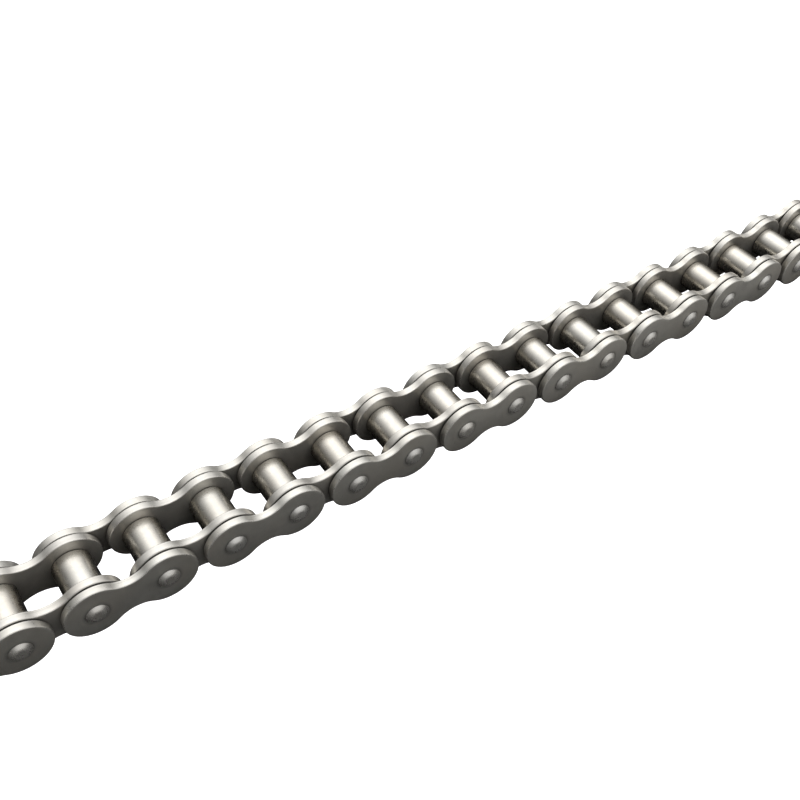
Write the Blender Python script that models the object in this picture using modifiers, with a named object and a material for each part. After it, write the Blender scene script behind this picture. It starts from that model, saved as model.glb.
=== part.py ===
"""Riveted roller chain: a straight stretch of inner and outer links.

+X runs along the chain, the pins lie along Y and +Z is up. The chain stands on the
edges of its plates, and the origin is on that surface, below the chain's middle.
Every mesh is made in link coordinates, with its origin on the axis of a pin.
"""

from math import atan2, cos, pi, sin

import bmesh
import bpy
from mathutils import Matrix

# Driving dimensions in metres.
PITCH = 0.01905
LINKS = 19  # an odd number, so that the chain ends in an inner link both ways
INNER_WIDTH = 0.0124
PLATE_THICKNESS = 0.0023
PLATE_GAP = 0.0003
INNER_LOBE_RADIUS = 0.00863
INNER_WAIST = 0.00573
OUTER_LOBE_RADIUS = 0.00838
OUTER_WAIST = 0.00522
PIN_RADIUS = 0.00297
PIN_PROJECTION = 0.00105
HEAD_SLOPE = 0.00115  # how far in from its side a pin's end starts to slope
HEAD_DROP = 0.0008  # how far that slope falls towards the plate
BUSH_RADIUS = 0.004
BUSH_BORE_RADIUS = 0.00315
ROLLER_RADIUS = 0.0052
ROLLER_BORE_RADIUS = 0.00417
FIT_GAP = 0.00025  # round a pin or bush that is pressed into a plate
SIDE_GAP = 0.0003  # between a roller's end and the inner plate

# How finely the round shapes are divided.
SHAFT_SIDES = 14
ROLLER_SIDES = 20
HALF_TURN_STEPS = 8
SHOULDER_STEPS = 2
WAIST_STEPS = 3

# What follows from them.
AXIS_HEIGHT = INNER_LOBE_RADIUS
INNER_PLATE_Y = (INNER_WIDTH + PLATE_THICKNESS) / 2
OUTER_PLATE_Y = INNER_PLATE_Y + PLATE_THICKNESS + PLATE_GAP
PIN_END_Y = OUTER_PLATE_Y + PLATE_THICKNESS / 2 + PIN_PROJECTION
BUSH_NEAR_Y = -INNER_PLATE_Y - PLATE_THICKNESS / 2
ROLLER_LENGTH = INNER_WIDTH - 2 * SIDE_GAP
CUTTER_LENGTH = 4 * OUTER_PLATE_Y
MERGE_DISTANCE = 0.00001
SMOOTH_ANGLE = pi / 5

LAY_FLAT_TO_UPRIGHT = Matrix.Rotation(pi / 2, 4, "X")


def new_collection(name):
    collection = bpy.data.collections.new(name)
    bpy.context.scene.collection.children.link(collection)
    return collection


def new_material(name, colour, roughness):
    material = bpy.data.materials.new(name)
    material.use_nodes = True
    shader = material.node_tree.nodes["Principled BSDF"]
    shader.inputs["Base Color"].default_value = (*colour, 1.0)
    shader.inputs["Roughness"].default_value = roughness
    shader.inputs["Metallic"].default_value = 1.0
    material.diffuse_color = (*colour, 1.0)
    return material


def arc(centre_x, centre_y, radius, start, stop, steps):
    """Points along an arc, without its last one, where the next arc starts."""
    angles = [start + (stop - start) * step / steps for step in range(steps)]
    return [(centre_x + radius * cos(a), centre_y + radius * sin(a)) for a in angles]


def plate_outline(lobe, waist):
    """A lobe round each pin, joined above and below by hollow arcs at the waist."""
    half = PITCH / 2
    hollow = (half**2 + waist**2 - lobe**2) / (2 * (lobe - waist))
    height = waist + hollow
    lean = atan2(height, half)
    points = []
    for centre_x, turn in ((PITCH, 0.0), (0.0, pi)):
        points += arc(centre_x, 0, lobe, turn - pi + lean, turn - pi / 2, SHOULDER_STEPS)
        points += arc(centre_x, 0, lobe, turn - pi / 2, turn + pi / 2, HALF_TURN_STEPS)
        points += arc(centre_x, 0, lobe, turn + pi / 2, turn + pi - lean, SHOULDER_STEPS)
        side = cos(turn)
        points += arc(half, side * height, hollow, turn - lean, turn + lean - pi, WAIST_STEPS)
    return points


def flat_outline(name, outlines, thickness):
    """A plate standing upright along X, cut from closed outlines."""
    curve = bpy.data.curves.new(name, "CURVE")
    curve.dimensions = "2D"
    curve.fill_mode = "BOTH"
    curve.extrude = thickness / 2
    for points in outlines:
        spline = curve.splines.new("POLY")
        spline.points.add(len(points) - 1)
        for point, (x, y) in zip(spline.points, points):
            point.co = (x, y, 0.0, 1.0)
        spline.use_cyclic_u = True
    return bpy.data.objects.new(name, curve)


def turned(name, profile, sides, closed):
    """A round piece with its axis along Y, from a profile of (radius, distance) points."""
    count = len(profile)
    edges = [(i, i + 1) for i in range(count - 1)]
    if closed:
        edges.append((count - 1, 0))
    mesh = bpy.data.meshes.new(name)
    mesh.from_pydata([(radius, 0.0, along) for radius, along in profile], edges, [])
    piece = bpy.data.objects.new(name, mesh)
    screw = piece.modifiers.new("turn", "SCREW")
    screw.axis = "Z"
    screw.angle = 2 * pi
    screw.steps = sides
    screw.render_steps = sides
    screw.use_merge_vertices = True
    screw.merge_threshold = MERGE_DISTANCE
    return piece


def settled_mesh(piece, name):
    """The piece with its modifiers as one closed upright mesh. The piece is removed."""
    bpy.context.scene.collection.objects.link(piece)
    bpy.context.view_layer.update()
    depsgraph = bpy.context.evaluated_depsgraph_get()
    mesh = bpy.data.meshes.new_from_object(
        piece.evaluated_get(depsgraph), depsgraph=depsgraph
    )
    mesh.name = name
    bpy.data.objects.remove(piece, do_unlink=True)
    shape = bmesh.new()
    shape.from_mesh(mesh)
    bmesh.ops.remove_doubles(shape, verts=shape.verts, dist=MERGE_DISTANCE)
    bmesh.ops.recalc_face_normals(shape, faces=shape.faces)
    shape.to_mesh(mesh)
    shape.free()
    mesh.shade_smooth()
    mesh.set_sharp_from_angle(angle=SMOOTH_ANGLE)
    return mesh


def shaping_piece(mesh, x, y):
    """A hidden piece that a Boolean adds or cuts."""
    piece = bpy.data.objects.new(mesh.name, mesh)
    piece.location = (x, y, 0.0)
    piece.hide_render = True
    piece.display_type = "WIRE"
    shaping.objects.link(piece)
    return piece


def combined_mesh(name, base, steps):
    """A base mesh with pieces added to it and cut from it, in order."""
    piece = bpy.data.objects.new(name, base)
    for operation, tool in steps:
        modifier = piece.modifiers.new(tool.name, "BOOLEAN")
        modifier.operation = operation
        modifier.solver = "EXACT"
        modifier.object = tool
    return settled_mesh(piece, name)


def round_hole(centre_x, radius):
    return arc(centre_x, 0, radius, 0, 2 * pi, SHAFT_SIDES)


def plate_mesh(name, outline, plate_y, hole_radius=None):
    """A plate in link coordinates, with or without its two holes."""
    outlines = [outline]
    if hole_radius:
        outlines += [round_hole(x, hole_radius) for x in (0.0, PITCH)]
    mesh = settled_mesh(flat_outline(name, outlines, PLATE_THICKNESS), name)
    mesh.transform(Matrix.Translation((0.0, plate_y, 0.0)) @ LAY_FLAT_TO_UPRIGHT)
    return mesh


def turned_mesh(name, profile, sides, closed=False):
    mesh = settled_mesh(turned(name, profile, sides, closed), name)
    mesh.transform(LAY_FLAT_TO_UPRIGHT)
    return mesh


def pin_mesh():
    """A rivet pin whose two ends slope down to their sides as low, blunt heads."""
    flat = PIN_RADIUS - HEAD_SLOPE
    shoulder = PIN_END_Y - HEAD_DROP
    head = [(0.0, PIN_END_Y), (flat, PIN_END_Y), (PIN_RADIUS, shoulder)]
    other_head = [(radius, -along) for radius, along in reversed(head)]
    return turned_mesh("pin", head + other_head, SHAFT_SIDES)


def solid_rod_mesh(name, radius, length):
    profile = [(0.0, length / 2), (radius, length / 2), (radius, -length / 2), (0.0, -length / 2)]
    return turned_mesh(name, profile, SHAFT_SIDES)


def ring_mesh(name, outer, inner, length, sides):
    half = length / 2
    profile = [(inner, half), (outer, half), (outer, -half), (inner, -half)]
    return turned_mesh(name, profile, sides, closed=True)


def pinned_outer_plate_mesh():
    """The far outer plate with the two pins that are riveted into it."""
    plate = plate_mesh("outer_plate_blank", outer_outline, OUTER_PLATE_Y)
    pin = pin_mesh()
    pins = [shaping_piece(pin, x, 0.0) for x in (0.0, PITCH)]
    return combined_mesh("pinned_outer_plate", plate, [("UNION", tool) for tool in pins])


def bushed_inner_plate_mesh():
    """The far inner plate with the two bushes that are pressed into it."""
    plate = plate_mesh("inner_plate_blank", inner_outline, INNER_PLATE_Y)
    length = INNER_PLATE_Y - BUSH_NEAR_Y
    bush = solid_rod_mesh("bush", BUSH_RADIUS, length)
    bore = solid_rod_mesh("bush_bore", BUSH_BORE_RADIUS, CUTTER_LENGTH)
    places = (0.0, PITCH)
    bushes = [shaping_piece(bush, x, BUSH_NEAR_Y + length / 2) for x in places]
    bores = [shaping_piece(bore, x, 0.0) for x in places]
    steps = [("UNION", tool) for tool in bushes] + [("DIFFERENCE", tool) for tool in bores]
    return combined_mesh("bushed_inner_plate", plate, steps)


def place(name, mesh, material, holder, x=0.0):
    """One named piece on the empty that stands on its joint axis."""
    piece = bpy.data.objects.new(name, mesh)
    if not mesh.materials:
        mesh.materials.append(material)
    piece.parent = holder
    piece.location.x = x
    chain.objects.link(piece)
    return piece


def link_axis(number, parent):
    """An empty on the axis that the link turns about, held by the link before it."""
    axis = bpy.data.objects.new(f"link_{number:02d}_axis", None)
    axis.empty_display_size = PITCH / 2
    if parent:
        axis.parent = parent
        axis.location.x = PITCH
    else:
        axis.location = (-LINKS * PITCH / 2, 0.0, AXIS_HEIGHT)
    chain.objects.link(axis)
    return axis


for old in list(bpy.data.objects):
    bpy.data.objects.remove(old, do_unlink=True)

chain = new_collection("roller_chain")
shaping = new_collection("shaping_pieces")

outer_steel = new_material("outer_plate_steel", (0.36, 0.35, 0.33), 0.34)
inner_steel = new_material("inner_plate_steel", (0.33, 0.32, 0.3), 0.36)
pin_steel = new_material("pinned_plate_steel", (0.39, 0.38, 0.36), 0.3)
bush_steel = new_material("bushed_plate_steel", (0.34, 0.33, 0.31), 0.33)
roller_steel = new_material("roller_steel", (0.46, 0.45, 0.43), 0.24)

outer_outline = plate_outline(OUTER_LOBE_RADIUS, OUTER_WAIST)
inner_outline = plate_outline(INNER_LOBE_RADIUS, INNER_WAIST)

outer_plate = plate_mesh("outer_plate", outer_outline, -OUTER_PLATE_Y, PIN_RADIUS + FIT_GAP)
inner_plate = plate_mesh("inner_plate", inner_outline, -INNER_PLATE_Y, BUSH_RADIUS + FIT_GAP)
pinned_outer_plate = pinned_outer_plate_mesh()
bushed_inner_plate = bushed_inner_plate_mesh()
roller = ring_mesh("roller", ROLLER_RADIUS, ROLLER_BORE_RADIUS, ROLLER_LENGTH, ROLLER_SIDES)

holder = None
for link in range(1, LINKS + 1):
    holder = link_axis(link, holder)
    if link % 2:
        inner_number = (link + 1) // 2
        place(f"inner_plate_{inner_number:02d}", inner_plate, inner_steel, holder)
        place(f"bushed_inner_plate_{inner_number:02d}", bushed_inner_plate, bush_steel, holder)
        for x in (0.0, PITCH):
            roller_number = link + round(x / PITCH)
            place(f"roller_{roller_number:02d}", roller, roller_steel, holder, x)
    else:
        outer_number = link // 2
        place(f"outer_plate_{outer_number:02d}", outer_plate, outer_steel, holder)
        place(f"pinned_outer_plate_{outer_number:02d}", pinned_outer_plate, pin_steel, holder)
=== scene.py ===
"""Looks of the riveted roller chain: every plate, pin, bush and roller as its own steel piece."""

from math import atan2, cos, pi, radians, sin

import bmesh
import bpy
from mathutils import Matrix, Vector


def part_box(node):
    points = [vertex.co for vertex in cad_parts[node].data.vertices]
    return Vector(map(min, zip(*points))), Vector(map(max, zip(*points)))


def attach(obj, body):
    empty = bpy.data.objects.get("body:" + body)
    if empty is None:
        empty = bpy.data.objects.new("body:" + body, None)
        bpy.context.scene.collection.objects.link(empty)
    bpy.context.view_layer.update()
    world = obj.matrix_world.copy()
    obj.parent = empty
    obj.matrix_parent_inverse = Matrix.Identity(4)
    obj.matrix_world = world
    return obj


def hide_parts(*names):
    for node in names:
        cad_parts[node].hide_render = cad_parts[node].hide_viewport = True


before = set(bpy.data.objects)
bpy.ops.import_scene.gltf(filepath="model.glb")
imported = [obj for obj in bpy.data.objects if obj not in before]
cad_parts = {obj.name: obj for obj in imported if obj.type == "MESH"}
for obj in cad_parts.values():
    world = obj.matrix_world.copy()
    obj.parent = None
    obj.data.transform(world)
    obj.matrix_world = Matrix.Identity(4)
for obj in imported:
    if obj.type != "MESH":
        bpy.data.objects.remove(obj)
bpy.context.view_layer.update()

# ---------------------------------------------------------------- sizes, in metres
# X runs along the chain, Y across it to the far side, and Z up.
INNER_LINKS = 10
OUTER_LINKS = 9
ROLLERS = 20

# from the boxes of the CAD model's nodes
inner_low, inner_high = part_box("inner_plate_01")
outer_low, outer_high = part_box("outer_plate_01")
roller_low, roller_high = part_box("roller_01")

AXIS_HEIGHT = (inner_low.z + inner_high.z) / 2
INNER_LOBE = (inner_high.z - inner_low.z) / 2
OUTER_LOBE = (outer_high.z - outer_low.z) / 2
PITCH = inner_high.x - inner_low.x - 2 * INNER_LOBE
THICKNESS = inner_high.y - inner_low.y
INNER_PLATE_Y = -(inner_low.y + inner_high.y) / 2
OUTER_PLATE_Y = -(outer_low.y + outer_high.y) / 2
PIN_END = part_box("pinned_outer_plate_01")[1].y
ROLLER_RADIUS = (roller_high.z - roller_low.z) / 2
INNER_WIDTH = 2 * INNER_PLATE_Y - THICKNESS

# radii, and half of a plate's height at its waist
INNER_WAIST = 0.00573
OUTER_WAIST = 0.00522
PIN_RADIUS = 0.00297
BUSH_RADIUS = 0.004
BUSH_BORE = 0.00311
ROLLER_BORE = 0.00412

# gaps
PRESS_GAP = 0.00003  # round a pin or bush in a plate's hole
ROLLER_SIDE_GAP = 0.00005  # between a roller's end and the plate beside it

# a plate's edge
PLATE_ROUNDING = 0.00034
TEAR_PLACE = 0.60  # share of the thickness, from the outer face, where the tool's clean cut ends
TEAR_STEP = 0.00004  # how far the torn rest is drawn in
TEAR_SLOPE = 0.00006  # half the width of the step between them
RUBBED_BORDER = 0.0008  # how far in on the face the rim's wear fades out

# a plate's hole
HOLE_ROUNDING = 0.00016
HALFWAY_ROUND = 0.3  # share of a rounding that is left halfway round it
# painted shade: a darker ring round each hole on both faces, standing in for the shade where a pin's head
# or a bush's end meets the plate
SHADE_RING_WIDTH = 0.0005
SHADE_RING_FADE = 0.0011

# a pin's rivet head
HEAD_SPREAD = 0.0001  # how much wider than the shank it is
HEAD_SLOPE = 0.0016  # width of the slope round its flat end
HEAD_DROP = 0.00098  # height of that slope
HEAD_BULGE = 1.5  # power that the slope falls by, so it is domed
HEAD_FLAT_RING = 0.6  # share of the flat end's radius where an inner ring keeps it flat
HEAD_FOOT = 0.00003  # how far over the plate its side ends
HEAD_TUCK = 0.0001  # how far into the hole it narrows to the shank

# the rounded ends of tubes
BUSH_ROUNDING = 0.0002
ROLLER_ROUNDING = 0.0003
BORE_ROUNDING = 0.0002

# how finely round shapes are divided
LOBE_STEPS = 44
HOLLOW_STEPS = 16
PLATE_ROUNDING_STEPS = 4
HOLE_SIDES = 48
HEAD_STEPS = 10
PIN_SIDES = 48
BUSH_SIDES = 48
BUSH_ROUNDING_STEPS = 4
ROLLER_SIDES = 64
ROLLER_ROUNDING_STEPS = 6
BORE_ROUNDING_STEPS = 4

# wear and painted shade, from a painted dark ring round a hole over the plain surface to an edge rubbed
# bright
RUBBED = 1.0
PLAIN = 0.0
PAINTED_SHADE = -1.0
PAINTED_SHADE_BORDER = -0.5
CUT_WEAR = 0.35
TORN_WEAR = 0.1
HOLE_WEAR = 0.3
TUBE_WEAR = 0.1
TUBE_CORNER_WEAR = 0.9
HEAD_END_WEAR = 0.1
HEAD_TOP_WEAR = 0.5
HEAD_WEAR_LOSS = 0.3  # from the top of the slope to its foot

NORMAL_WEIGHT = 80  # how much the large faces lead the smooth shading

# ---------------------------------------------------------------- camera
CAMERA_AZIMUTH = 37.40
CAMERA_ELEVATION = 46.24
CAMERA_ROLL = 4.10
CAMERA_DISTANCE = 0.28822
CAMERA_TARGET = Vector((-0.01932, 0.00955, AXIS_HEIGHT))
CAMERA_LENS = 42.635
CAMERA_SENSOR = 36.0
CAMERA_CLIP_START = 0.01


def add_camera():
    """The camera where the photo was taken from, in front, to the left and above."""
    azimuth, elevation = radians(CAMERA_AZIMUTH), radians(CAMERA_ELEVATION)
    back = Vector((-sin(azimuth) * cos(elevation), -cos(azimuth) * cos(elevation), sin(elevation)))
    camera = bpy.data.objects.new("camera", bpy.data.cameras.new("camera"))
    camera.location = CAMERA_TARGET + CAMERA_DISTANCE * back
    look = (-back).to_track_quat("-Z", "Y").to_matrix()
    camera.rotation_euler = (look @ Matrix.Rotation(radians(CAMERA_ROLL), 3, "Z")).to_euler()
    camera.data.lens = CAMERA_LENS
    camera.data.sensor_width = CAMERA_SENSOR
    camera.data.clip_start = CAMERA_CLIP_START
    bpy.context.scene.collection.objects.link(camera)
    bpy.context.scene.camera = camera


# ---------------------------------------------------------------- shader nodes
WHITE = (1.0, 1.0, 1.0)
MIX_FIRST, MIX_SECOND, MIX_RESULT = 6, 7, 2  # the colour sockets of a Mix node


def new_node(tree, kind, **settings):
    """A new node with its settings."""
    made = tree.nodes.new(kind)
    for name, value in settings.items():
        setattr(made, name, value)
    return made


def fill(tree, socket, value):
    """Links a socket to another node's output, or sets it to a number or a colour."""
    if isinstance(value, bpy.types.NodeSocket):
        tree.links.new(value, socket)
    elif isinstance(value, tuple):
        socket.default_value = (*value, 1)
    else:
        socket.default_value = value


def spanned(tree, value, low, high, to_low=0.0, to_high=1.0):
    """A value's range from low to high, turned into another range, and held past its ends."""
    span = tree.nodes.new("ShaderNodeMapRange")
    span.inputs["From Min"].default_value = low
    span.inputs["From Max"].default_value = high
    span.inputs["To Min"].default_value = to_low
    span.inputs["To Max"].default_value = to_high
    tree.links.new(value, span.inputs["Value"])
    return span.outputs["Result"]


def graded(tree, value, stops, tint=WHITE):
    """A colour that follows a value through (value, level) stops, and holds past the outer ones."""
    low, high = stops[0][0], stops[-1][0]
    ramp = tree.nodes.new("ShaderNodeValToRGB")
    tree.links.new(spanned(tree, value, low, high), ramp.inputs["Fac"])
    while len(ramp.color_ramp.elements) < len(stops):
        ramp.color_ramp.elements.new(0.5)  # anywhere, as they are placed below
    for element, (at, level) in zip(ramp.color_ramp.elements, stops):
        element.position = (at - low) / (high - low)
        element.color = (*(level * share for share in tint), 1)
    return ramp.outputs["Color"]


def blended(tree, kind, first, second, factor=1.0):
    """Two colours mixed, added or multiplied."""
    blend = new_node(tree, "ShaderNodeMix", data_type="RGBA", blend_type=kind)
    fill(tree, blend.inputs["Factor"], factor)
    fill(tree, blend.inputs[MIX_FIRST], first)
    fill(tree, blend.inputs[MIX_SECOND], second)
    return blend.outputs[MIX_RESULT]


def maths(tree, operation, first, second):
    """The result of a calculation with two values."""
    made = new_node(tree, "ShaderNodeMath", operation=operation)
    fill(tree, made.inputs[0], first)
    fill(tree, made.inputs[1], second)
    return made.outputs[0]


def noise(tree, place, scale, detail, roughness):
    """Cloudy noise around 0.5."""
    made = tree.nodes.new("ShaderNodeTexNoise")
    made.inputs["Scale"].default_value = scale
    made.inputs["Detail"].default_value = detail
    made.inputs["Roughness"].default_value = roughness
    tree.links.new(place, made.inputs["Vector"])
    return made.outputs["Fac"]


# ---------------------------------------------------------------- stage
FLOOR_RADIUS = 30.0
FLOOR_SIDES = 96
FLOOR_WHITE = (0.80, 0.80, 0.80)
FLOOR_ROUGHNESS = 0.9
FLOOR_GLOW = 0.9
SEEN_FLOOR_HEIGHT = -0.3  # below the lowest that an end of the chain can hang
MIRRORED_FLOOR_HEIGHT = -0.0001
MIRRORED_FLOOR_TINT = (1.0, 0.985, 0.95)

# painted shadow on the mirrored floor, as its brightness by (distance from the chain's middle line, level)
# and (x, level)
FLOOR_SHADE_ACROSS = [
    (0.0, 0.045),
    (0.011, 0.055),
    (0.018, 0.13),
    (0.026, 0.19),
    (0.045, 0.38),
    (0.09, 0.70),
]
FLOOR_SHADE_ALONG = [(-0.19, 0.30), (-0.09, 0.40), (-0.03, 0.60), (0.02, 0.90), (0.06, 1.0)]

# directions in the sky, and its brightness, as (how nearly it lies in that direction, level)
UPWARD = (0.0, 0.0, 1.0)
OVERHEAD_LIGHT = (0.19, 0.45, 0.87)
OVERHEAD_FALLOFF = [
    (-1.0, 0.002),
    (-0.34, 0.01),
    (0.0, 0.035),
    (0.35, 0.09),
    (0.64, 0.26),
    (0.79, 0.47),
    (0.86, 0.62),
    (0.95, 0.92),
    (1.0, 1.0),
]
HORIZON_FADE = [(-1.0, 0.1), (0.0, 0.1), (0.12, 0.2), (0.30, 0.6), (0.43, 1.0), (1.0, 1.0)]
FRONT_GLOW = (0.28, -0.86, 0.42)
FRONT_FALLOFF = [(0.0, 0.0), (0.5, 0.06), (0.7, 0.16), (0.87, 0.37), (1.0, 0.45)]
UNDERSIDE_GLOW = [(-1.0, 0.12), (-0.1, 0.12), (0.0, 0.0), (1.0, 0.0)]
TENT_STRENGTH = 2.1


def floor_disc(name, glow, height):
    """A wide white disc, matt, with a glow of its own."""
    bpy.ops.mesh.primitive_circle_add(vertices=FLOOR_SIDES, radius=FLOOR_RADIUS, fill_type="NGON")
    disc = bpy.context.object
    disc.name = name
    disc.location.z = height
    material = bpy.data.materials.new(name)
    material.use_nodes = True
    shader = material.node_tree.nodes["Principled BSDF"]
    shader.inputs["Base Color"].default_value = (*FLOOR_WHITE, 1)
    shader.inputs["Roughness"].default_value = FLOOR_ROUGHNESS
    shader.inputs["Specular IOR Level"].default_value = 0.0
    shader.inputs["Emission Color"].default_value = (*WHITE, 1)
    shader.inputs["Emission Strength"].default_value = glow
    disc.data.materials.append(material)
    return disc


def shade_floor(tree):
    """Paints shade into the mirrored floor's colour: a painted shadow darker towards the chain, and darker
    towards the chain's near end.
    """
    place = tree.nodes.new("ShaderNodeTexCoord")
    apart = tree.nodes.new("ShaderNodeSeparateXYZ")
    beside = new_node(tree, "ShaderNodeMath", operation="ABSOLUTE")
    tree.links.new(place.outputs["Object"], apart.inputs[0])
    tree.links.new(apart.outputs["Y"], beside.inputs[0])
    across = graded(tree, beside.outputs[0], FLOOR_SHADE_ACROSS, MIRRORED_FLOOR_TINT)
    along = graded(tree, apart.outputs["X"], FLOOR_SHADE_ALONG)
    shade = blended(tree, "MULTIPLY", across, along)
    tree.links.new(shade, tree.nodes["Principled BSDF"].inputs["Base Color"])


def open_from_below(tree):
    """Lets light through the mirrored floor from its underside, for the links that hang below it."""
    geometry = tree.nodes.new("ShaderNodeNewGeometry")
    clear = tree.nodes.new("ShaderNodeBsdfTransparent")
    either = tree.nodes.new("ShaderNodeMixShader")
    tree.links.new(geometry.outputs["Backfacing"], either.inputs["Fac"])
    tree.links.new(tree.nodes["Principled BSDF"].outputs[0], either.inputs[1])
    tree.links.new(clear.outputs[0], either.inputs[2])
    tree.links.new(either.outputs[0], tree.nodes["Material Output"].inputs["Surface"])


def add_floor():
    """A white floor as the eye meets it, and the dimmer one under the chain that the steel mirrors."""
    seen = floor_disc("floor", FLOOR_GLOW, SEEN_FLOOR_HEIGHT)
    seen.visible_diffuse = False
    seen.visible_glossy = False
    seen.visible_shadow = False
    mirrored = floor_disc("mirrored_floor", 0.0, MIRRORED_FLOOR_HEIGHT)
    mirrored.visible_camera = False
    shade_floor(mirrored.active_material.node_tree)
    open_from_below(mirrored.active_material.node_tree)


def facing(tree, place, direction):
    """How nearly a place in the sky lies in a direction: 1 in it, 0 square to it, -1 opposite."""
    aim = new_node(tree, "ShaderNodeVectorMath", operation="DOT_PRODUCT")
    tree.links.new(place.outputs["Generated"], aim.inputs[0])
    aim.inputs[1].default_value = Vector(direction).normalized()
    return aim.outputs["Value"]


def show_backdrop(tree, tent):
    """Shows the eye plain white where the tent would be, which then only lights the steel."""
    backdrop = tree.nodes.new("ShaderNodeBackground")
    backdrop.inputs["Color"].default_value = (*WHITE, 1)
    path = tree.nodes.new("ShaderNodeLightPath")
    shown = tree.nodes.new("ShaderNodeMixShader")
    tree.links.new(path.outputs["Is Camera Ray"], shown.inputs["Fac"])
    tree.links.new(tent.outputs[0], shown.inputs[1])
    tree.links.new(backdrop.outputs[0], shown.inputs[2])
    tree.links.new(shown.outputs[0], tree.nodes["World Output"].inputs["Surface"])


def add_world():
    """A studio tent: a broad soft light above and behind, dim glows low in front and below."""
    world = bpy.data.worlds.new("studio_tent")
    bpy.context.scene.world = world
    world.use_nodes = True
    tree = world.node_tree
    place = tree.nodes.new("ShaderNodeTexCoord")
    height = facing(tree, place, UPWARD)
    overhead = graded(tree, facing(tree, place, OVERHEAD_LIGHT), OVERHEAD_FALLOFF)
    front = graded(tree, facing(tree, place, FRONT_GLOW), FRONT_FALLOFF)
    light = blended(tree, "MULTIPLY", overhead, graded(tree, height, HORIZON_FADE))
    light = blended(tree, "ADD", light, front)
    light = blended(tree, "ADD", light, graded(tree, height, UNDERSIDE_GLOW))
    tent = tree.nodes["Background"]
    tree.links.new(light, tent.inputs["Color"])
    tent.inputs["Strength"].default_value = TENT_STRENGTH
    show_backdrop(tree, tent)


# ---------------------------------------------------------------- steel
# noise patterns, as (scale, detail, roughness); each steel has its own scale of grain
CLOUDS = (140, 3, 0.55)
DRIFT = (45, 2, 0.5)
SCUFFS = (900, 4, 0.6)
DENTS = (420, 2, 0.5)
GRAIN_DETAIL = 6
GRAIN_ROUGHNESS = 0.65
SCUFF_STRETCH = (1.0, 1.0, 0.12)
PATTERN_SHIFT = 3.0  # how far apart two pieces' patterns may lie, before the steel's seed is added

# the part of each pattern's range that is used, and how much it changes the steel's roughness
CLOUD_RANGE = (0.35, 0.65)
DRIFT_RANGE = (0.4, 0.62)
GRAIN_RANGE = (0.3, 0.7)
SCUFF_RANGE = (0.35, 0.65)
ROUGHENED_BY_GRAIN = (-0.05, 0.05)
ROUGHENED_BY_SCUFFS = (-0.03, 0.04)

OUTER_TONE = (0.665, 0.65, 0.605)
INNER_TONE = (0.66, 0.64, 0.595)
PIN_TONE = (0.66, 0.65, 0.62)
BUSH_TONE = (0.60, 0.58, 0.55)
ROLLER_TONE = (0.65, 0.63, 0.58)

# the share of a tone's red, green and blue in each shade of it
DARK = (0.84, 0.84, 0.84)
BRIGHT = (1.10, 1.10, 1.10)
# painted shade: the share kept in the dark ring round a hole
HOLE_SHADE = (0.35, 0.35, 0.35)
BROWN = (0.97, 0.93, 0.885)

DRIFT_AMOUNT = 0.6
RUBBED_AMOUNT = 0.75
# painted shade round a hole: how far the colour goes towards its share
HOLE_SHADE_AMOUNT = 0.6
# painted shade where other steel is near: how far that is looked for, the part of the occlusion's range
# that is used, and its samples
CORNER_REACH = 0.003
CORNER_RANGE = (0.25, 0.95)
CORNER_SAMPLES = 8
RUBBED_SMOOTHNESS = 0.06
GRAIN_HEIGHT = 0.35
DENT_HEIGHT = 0.9
SCUFF_HEIGHT = 0.25
BUMP_DISTANCE = 0.00006


def shade_of(tone, shares):
    """A tone with a share of each of its channels."""
    return tuple(channel * share for channel, share in zip(tone, shares))


def own_place(tree, seed):
    """Object coordinates, shifted by each object's own amount, so that no two pieces look alike."""
    place = tree.nodes.new("ShaderNodeTexCoord")
    chance = tree.nodes.new("ShaderNodeObjectInfo")
    spread = tree.nodes.new("ShaderNodeCombineXYZ")
    for socket in spread.inputs:
        tree.links.new(chance.outputs["Random"], socket)
    shift = new_node(tree, "ShaderNodeVectorMath", operation="SCALE")
    tree.links.new(spread.outputs[0], shift.inputs[0])
    shift.inputs["Scale"].default_value = PATTERN_SHIFT + seed
    moved = new_node(tree, "ShaderNodeVectorMath", operation="ADD")
    tree.links.new(place.outputs["Object"], moved.inputs[0])
    tree.links.new(shift.outputs[0], moved.inputs[1])
    return moved.outputs[0]


def stretched(tree, place, scale):
    """Coordinates scaled along each axis, which draws a pattern out where the scale is small."""
    bend = tree.nodes.new("ShaderNodeMapping")
    bend.inputs["Scale"].default_value = scale
    tree.links.new(place, bend.inputs["Vector"])
    return bend.outputs["Vector"]


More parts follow.
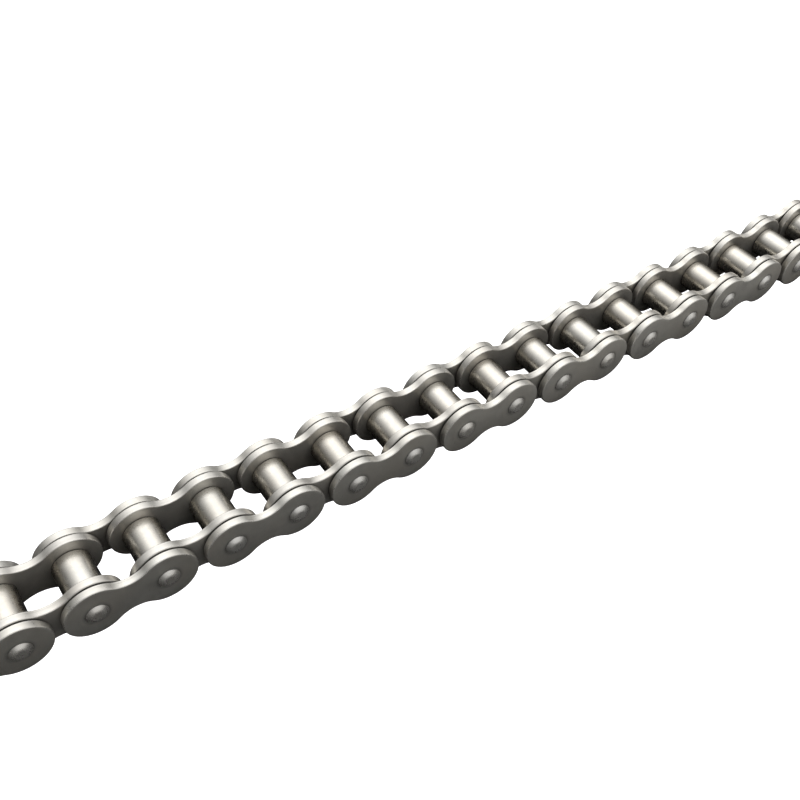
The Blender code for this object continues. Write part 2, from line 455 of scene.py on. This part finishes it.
def steel_colour(tree, place, tone, wear_and_shade, corner_shade_kept):
    """Clouds and a brownish drift, rubbed edges bright, and painted shade: a dark ring round each hole and
    darker colour where other steel is near.
    """
    clouds = spanned(tree, noise(tree, place, *CLOUDS), *CLOUD_RANGE)
    drift = spanned(tree, noise(tree, place, *DRIFT), *DRIFT_RANGE, 0.0, DRIFT_AMOUNT)
    rubbed = spanned(tree, wear_and_shade, PLAIN, RUBBED, 0.0, RUBBED_AMOUNT)
    # painted shade: a dark ring round each hole, from the attribute's low values
    painted_hole_shade = spanned(tree, wear_and_shade, PAINTED_SHADE, PLAIN, HOLE_SHADE_AMOUNT, 0.0)
    colour = blended(tree, "MIX", shade_of(tone, DARK), tone, clouds)
    colour = blended(tree, "MIX", colour, shade_of(tone, BROWN), drift)
    colour = blended(tree, "MIX", colour, shade_of(tone, BRIGHT), rubbed)
    colour = blended(tree, "MIX", colour, shade_of(tone, HOLE_SHADE), painted_hole_shade)
    # painted shade: the colour is darkened where other steel is near, as if in a corner's shade
    corner = new_node(tree, "ShaderNodeAmbientOcclusion", samples=CORNER_SAMPLES)
    corner.inputs["Distance"].default_value = CORNER_REACH
    painted_corner_shade = spanned(tree, corner.outputs["AO"], *CORNER_RANGE, corner_shade_kept, 1.0)
    return blended(tree, "MULTIPLY", colour, painted_corner_shade)


def steel_roughness(tree, roughness, grain, scuffs, wear_and_shade):
    """Varied by the grain and the scuffs, and smoother where the steel is rubbed."""
    by_grain = spanned(tree, grain, *GRAIN_RANGE, *ROUGHENED_BY_GRAIN)
    by_scuffs = spanned(tree, scuffs, *SCUFF_RANGE, *ROUGHENED_BY_SCUFFS)
    rough = maths(tree, "ADD", maths(tree, "ADD", by_grain, roughness), by_scuffs)
    return maths(tree, "SUBTRACT", rough, maths(tree, "MULTIPLY", wear_and_shade, RUBBED_SMOOTHNESS))


def steel_relief(tree, place, relief, grain, scuffs):
    """Grain, small dents and scuffs as fine relief."""
    dents = maths(tree, "MULTIPLY", noise(tree, place, *DENTS), DENT_HEIGHT)
    height = maths(tree, "ADD", maths(tree, "MULTIPLY", grain, GRAIN_HEIGHT), dents)
    height = maths(tree, "ADD", height, maths(tree, "MULTIPLY", scuffs, SCUFF_HEIGHT))
    bump = tree.nodes.new("ShaderNodeBump")
    bump.inputs["Strength"].default_value = relief
    bump.inputs["Distance"].default_value = BUMP_DISTANCE
    tree.links.new(height, bump.inputs["Height"])
    return bump.outputs["Normal"]


def steel(name, tone, roughness, grain_scale, seed, relief=0.35, metal=0.8, corner_shade_kept=0.42, rim=1.0):
    """Tumbled steel: fine grain, small dents and scuffs, brighter along rubbed edges.

    The corner share is what the colour keeps under painted shade where other steel is near, and rim what is
    kept of the glancing shine.
    """
    material = bpy.data.materials.new(name)
    material.use_nodes = True
    tree = material.node_tree
    shader = tree.nodes["Principled BSDF"]
    shader.inputs["Metallic"].default_value = metal
    shader.inputs["Specular Tint"].default_value = (rim, rim, rim, 1)
    place = own_place(tree, seed)
    wear_and_shade = new_node(tree, "ShaderNodeAttribute", attribute_name="wear_and_shade").outputs["Fac"]
    grain = noise(tree, place, grain_scale, GRAIN_DETAIL, GRAIN_ROUGHNESS)
    scuffs = noise(tree, stretched(tree, place, SCUFF_STRETCH), *SCUFFS)
    colour = steel_colour(tree, place, tone, wear_and_shade, corner_shade_kept)
    tree.links.new(colour, shader.inputs["Base Color"])
    rough = steel_roughness(tree, roughness, grain, scuffs, wear_and_shade)
    tree.links.new(rough, shader.inputs["Roughness"])
    normal = steel_relief(tree, place, relief, grain, scuffs)
    tree.links.new(normal, shader.inputs["Normal"])
    return material


# ---------------------------------------------------------------- shapes
def arc(centre_x, centre_z, radius, start, stop, steps):
    """Points along an arc, without its last one, where the next arc starts."""
    angles = [start + (stop - start) * step / steps for step in range(steps)]
    return [(centre_x + radius * cos(a), centre_z + radius * sin(a)) for a in angles]


def circle(centre_x, radius, sides):
    """Points round a circle whose centre is on the pins' line."""
    return arc(centre_x, 0, radius, 0, 2 * pi, sides)


def new_shape():
    """An empty shape whose vertices have a value of wear and painted shade."""
    shape = bmesh.new()
    shape.verts.layers.float.new("wear_and_shade")
    return shape


def ring_of(shape, points, y, wear_and_shade):
    """A ring of vertices at one y, all with the same wear and painted shade."""
    layer = shape.verts.layers.float["wear_and_shade"]
    ring = [shape.verts.new((x, y, z)) for x, z in points]
    for vertex in ring:
        vertex[layer] = wear_and_shade
    return ring


def sides_of(ring):
    """Each vertex of a ring with the next one round."""
    return zip(ring, ring[1:] + ring[:1])


def edges_of(shape, ring):
    """The edges round a ring."""
    return [shape.edges.get(side) for side in sides_of(ring)]


def wall(shape, first, second):
    """Faces between two rings."""
    for (a, b), (c, d) in zip(sides_of(first), sides_of(second)):
        shape.faces.new((a, b, d, c))


def fan(shape, tip, ring):
    """Faces between a tip and a ring round it."""
    for a, b in sides_of(ring):
        shape.faces.new((tip, a, b))


def finished(shape, name, material):
    """The shape as a smooth mesh of one material."""
    bmesh.ops.recalc_face_normals(shape, faces=shape.faces)
    mesh = bpy.data.meshes.new(name)
    shape.to_mesh(mesh)
    shape.free()
    mesh.shade_smooth()
    mesh.materials.append(material)
    return mesh


# ---------------------------------------------------------------- plates
def plate_loop(lobe, waist, inset):
    """A plate's outline, drawn in by an inset: a lobe round each pin, joined by hollow arcs.

    All insets give the same number of points.
    """
    half = PITCH / 2
    hollow = (half**2 + waist**2 - lobe**2) / (2 * (lobe - waist))
    height = waist + hollow
    lean = atan2(height, half)
    points = []
    for centre_x, turn in ((PITCH, 0.0), (0.0, pi)):
        points += arc(centre_x, 0, lobe - inset, turn - pi + lean, turn + pi - lean, LOBE_STEPS)
        points += arc(half, cos(turn) * height, hollow + inset, turn - lean, turn + lean - pi, HOLLOW_STEPS)
    return points


def edge_rows():
    """(inset, y, worn) rows down a plate's rounded edge, from one face to the other."""
    half = THICKNESS / 2
    rounding = []
    for step in range(PLATE_ROUNDING_STEPS + 1):
        turn = pi / 2 * step / PLATE_ROUNDING_STEPS
        inset = PLATE_ROUNDING * (1 - sin(turn))
        depth = PLATE_ROUNDING * (1 - cos(turn))
        most_halfway = cos(turn - pi / 4) ** 2
        rounding.append((inset, depth, RUBBED * most_halfway))
    tear = -half + TEAR_PLACE * THICKNESS
    rows = [(inset, -half + depth, wear_and_shade) for inset, depth, wear_and_shade in rounding]
    rows.append((0.0, tear - TEAR_SLOPE, CUT_WEAR))
    rows.append((TEAR_STEP, tear + TEAR_SLOPE, TORN_WEAR))
    rows += [(max(inset, TEAR_STEP), half - depth, wear_and_shade) for inset, depth, wear_and_shade in reversed(rounding)]
    return rows


def hole_rows(radius):
    """(radius, y, wear and shade) rows through a hole with rounded edges and a ring of painted shade round
    them.
    """
    half = THICKNESS / 2
    halfway = HALFWAY_ROUND * HOLE_ROUNDING
    near = [
        (radius + SHADE_RING_FADE, -half, PLAIN),
        (radius + SHADE_RING_WIDTH, -half, PAINTED_SHADE_BORDER),
        (radius + HOLE_ROUNDING, -half, PAINTED_SHADE),
        (radius + halfway, -half + halfway, PAINTED_SHADE),
        (radius, -half + HOLE_ROUNDING, HOLE_WEAR),
    ]
    return near + [(r, -y, wear_and_shade) for r, y, wear_and_shade in reversed(near)]


def add_hole(shape, centre_x, radius):
    """A hole's wall. Gives the rings that it starts from on the near face and the far one."""
    rows = hole_rows(radius)
    rings = [ring_of(shape, circle(centre_x, r, HOLE_SIDES), y, wear_and_shade) for r, y, wear_and_shade in rows]
    for first, second in zip(rings, rings[1:]):
        wall(shape, second, first)
    return rings[0], rings[-1]


def fill_face(shape, outline, holes):
    """A flat face inside an outline and round holes."""
    edges = edges_of(shape, outline)
    for hole in holes:
        edges += edges_of(shape, hole)
    bmesh.ops.triangle_fill(shape, use_beauty=True, use_dissolve=False, edges=edges)


def plate_mesh(name, lobe, waist, hole_radius, material):
    """A blanked plate: rounded rim, a faint torn step, and two holes with rounded edges."""
    shape = new_shape()
    half = THICKNESS / 2
    border = plate_loop(lobe, waist, RUBBED_BORDER)
    rims = [ring_of(shape, plate_loop(lobe, waist, inset), y, wear_and_shade) for inset, y, wear_and_shade in edge_rows()]
    near_border = ring_of(shape, border, -half, PLAIN)
    far_border = ring_of(shape, border, half, PLAIN)
    rings = [near_border] + rims + [far_border]
    for first, second in zip(rings, rings[1:]):
        wall(shape, first, second)
    holes = [add_hole(shape, centre_x, hole_radius) for centre_x in (0.0, PITCH)]
    fill_face(shape, near_border, [near for near, far in holes])
    fill_face(shape, far_border, [far for near, far in holes])
    return finished(shape, name, material)


# ---------------------------------------------------------------- pins, bushes and rollers
def pin_rows():
    """(radius, y, worn) rows of a shank whose ends are riveted into blunt, domed heads."""
    outer_face = OUTER_PLATE_Y + THICKNESS / 2
    radius = PIN_RADIUS + HEAD_SPREAD
    flat = radius - HEAD_SLOPE
    head = [(0.0, PIN_END, HEAD_END_WEAR), (HEAD_FLAT_RING * flat, PIN_END, HEAD_END_WEAR)]
    for step in range(HEAD_STEPS + 1):
        share = step / HEAD_STEPS
        slope_radius = radius - HEAD_SLOPE * (1 - share)
        slope_y = PIN_END - HEAD_DROP * share**HEAD_BULGE
        head.append((slope_radius, slope_y, HEAD_TOP_WEAR - HEAD_WEAR_LOSS * share))
    head.append((radius, outer_face + HEAD_FOOT, PLAIN))
    head.append((PIN_RADIUS, outer_face - HEAD_TUCK, PLAIN))
    return head + [(r, -y, wear_and_shade) for r, y, wear_and_shade in reversed(head)]


def corner_rows(radius, end, rounding, steps, side=1):
    """(radius, y, worn) rows round a tube's corner, from its end face to its side.

    Side is 1 on the outside and -1 in the bore.
    """
    inwards = -1 if end > 0 else 1
    rows = []
    for step in range(steps + 1):
        turn = pi / 2 * step / steps
        row_radius = radius - side * rounding * (1 - sin(turn))
        y = end + inwards * rounding * (1 - cos(turn))
        rows.append((row_radius, y, TUBE_CORNER_WEAR * sin(2 * turn) + TUBE_WEAR))
    return rows


def tube_rows(radius, bore, half, rounding, steps):
    """(radius, y, worn) rows round a tube's wall: along its side, and back through its bore."""
    far_rim = corner_rows(radius, half, rounding, steps)
    near_rim = corner_rows(radius, -half, rounding, steps)
    near_mouth = corner_rows(bore, -half, BORE_ROUNDING, BORE_ROUNDING_STEPS, -1)
    far_mouth = corner_rows(bore, half, BORE_ROUNDING, BORE_ROUNDING_STEPS, -1)
    return far_rim + near_rim[::-1] + near_mouth + far_mouth[::-1]


def bush_rows():
    """Rows of a bush, whose ends are flush with the outer faces of its plates."""
    half = INNER_PLATE_Y + THICKNESS / 2
    return tube_rows(BUSH_RADIUS, BUSH_BORE, half, BUSH_ROUNDING, BUSH_ROUNDING_STEPS)


def roller_rows():
    """Rows of a roller, which fills the space between the inner plates but for a gap at each end."""
    half = INNER_WIDTH / 2 - ROLLER_SIDE_GAP
    return tube_rows(ROLLER_RADIUS, ROLLER_BORE, half, ROLLER_ROUNDING, ROLLER_ROUNDING_STEPS)


def turned_rings(shape, rows, sides):
    """Rings about the Y axis. One of no radius is a single vertex."""
    rings = []
    for radius, y, wear_and_shade in rows:
        points = circle(0, radius, sides) if radius else [(0, 0)]
        rings.append(ring_of(shape, points, y, wear_and_shade))
    return rings


def solid_mesh(name, rows, sides, material):
    """A round piece about the Y axis that starts and ends in a tip."""
    shape = new_shape()
    first_tip, *rings, last_tip = turned_rings(shape, rows, sides)
    fan(shape, first_tip[0], rings[0])
    for first, second in zip(rings, rings[1:]):
        wall(shape, first, second)
    fan(shape, last_tip[0], rings[-1])
    return finished(shape, name, material)


def tube_mesh(name, rows, sides, material):
    """A round piece about the Y axis with an open bore, whose last row joins its first."""
    shape = new_shape()
    rings = turned_rings(shape, rows, sides)
    for first, second in zip(rings, rings[1:] + rings[:1]):
        wall(shape, first, second)
    return finished(shape, name, material)


# ---------------------------------------------------------------- pieces
def add_piece(name, mesh, place, body, stands_for, flip=False):
    """A visible piece, on the body it moves with, in place of the CAD node it stands for."""
    piece = bpy.data.objects.new(name, mesh)
    piece.location = place
    if flip:
        piece.rotation_euler = (0, 0, pi)
    bpy.context.scene.collection.objects.link(piece)
    weigh = piece.modifiers.new("even_normals", "WEIGHTED_NORMAL")
    weigh.keep_sharp = True
    weigh.weight = NORMAL_WEIGHT
    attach(piece, body)
    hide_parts(stands_for)


def add_link(kind, number, lobe, plate_y, plate, bar, bar_mesh, far_part):
    """A link's near and far plates, and the two bars (bushes or pins) that are fixed in them.

    The CAD model has the far plate and both bars in one node, its far part.
    """
    tag = f"{number:02d}"
    body = f"{kind}_link_{tag}"
    near_node = f"{kind}_plate_{tag}"
    far_node = f"{far_part}_{tag}"
    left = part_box(near_node)[0].x + lobe
    right = left + PITCH
    near_place = (left, -plate_y, AXIS_HEIGHT)
    far_place = (right, plate_y, AXIS_HEIGHT)
    add_piece(f"near_{kind}_plate_{tag}", plate, near_place, body, near_node)
    add_piece(f"far_{kind}_plate_{tag}", plate, far_place, body, far_node, flip=True)
    for side, x in (("left", left), ("right", right)):
        add_piece(f"{side}_{bar}_{tag}", bar_mesh, (x, 0, AXIS_HEIGHT), body, far_node)


def add_roller(number, mesh):
    """A roller, which turns on its bush as a body of its own."""
    node = f"roller_{number:02d}"
    low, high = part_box(node)
    place = ((low.x + high.x) / 2, 0, AXIS_HEIGHT)
    add_piece(f"steel_{node}", mesh, place, node, node)


# ---------------------------------------------------------------- the scene
bpy.context.scene.view_settings.view_transform = "Standard"
add_camera()
add_floor()
add_world()

outer_steel = steel("outer_plate_steel", OUTER_TONE, roughness=0.34, grain_scale=2600, seed=1)
inner_steel = steel("inner_plate_steel", INNER_TONE, roughness=0.35, grain_scale=2600, seed=2)
pin_steel = steel("pin_steel", PIN_TONE, roughness=0.30, grain_scale=2200, seed=3, relief=0.2)
bush_steel = steel("bush_steel", BUSH_TONE, roughness=0.30, grain_scale=2000, seed=4)
roller_steel = steel(
    "roller_steel",
    ROLLER_TONE,
    roughness=0.30,
    grain_scale=1300,
    seed=5,
    relief=0.05,
    metal=1.0,
    corner_shade_kept=0.9,
    rim=0.0,
)

outer_plate = plate_mesh("outer_plate_shape", OUTER_LOBE, OUTER_WAIST, PIN_RADIUS + PRESS_GAP, outer_steel)
inner_plate = plate_mesh("inner_plate_shape", INNER_LOBE, INNER_WAIST, BUSH_RADIUS + PRESS_GAP, inner_steel)
pin = solid_mesh("pin_shape", pin_rows(), PIN_SIDES, pin_steel)
bush = tube_mesh("bush_shape", bush_rows(), BUSH_SIDES, bush_steel)
roller = tube_mesh("roller_shape", roller_rows(), ROLLER_SIDES, roller_steel)

for number in range(1, INNER_LINKS + 1):
    add_link("inner", number, INNER_LOBE, INNER_PLATE_Y, inner_plate, "bush", bush, "bushed_inner_plate")
for number in range(1, OUTER_LINKS + 1):
    add_link("outer", number, OUTER_LOBE, OUTER_PLATE_Y, outer_plate, "pin", pin, "pinned_outer_plate")
for number in range(1, ROLLERS + 1):
    add_roller(number, roller)
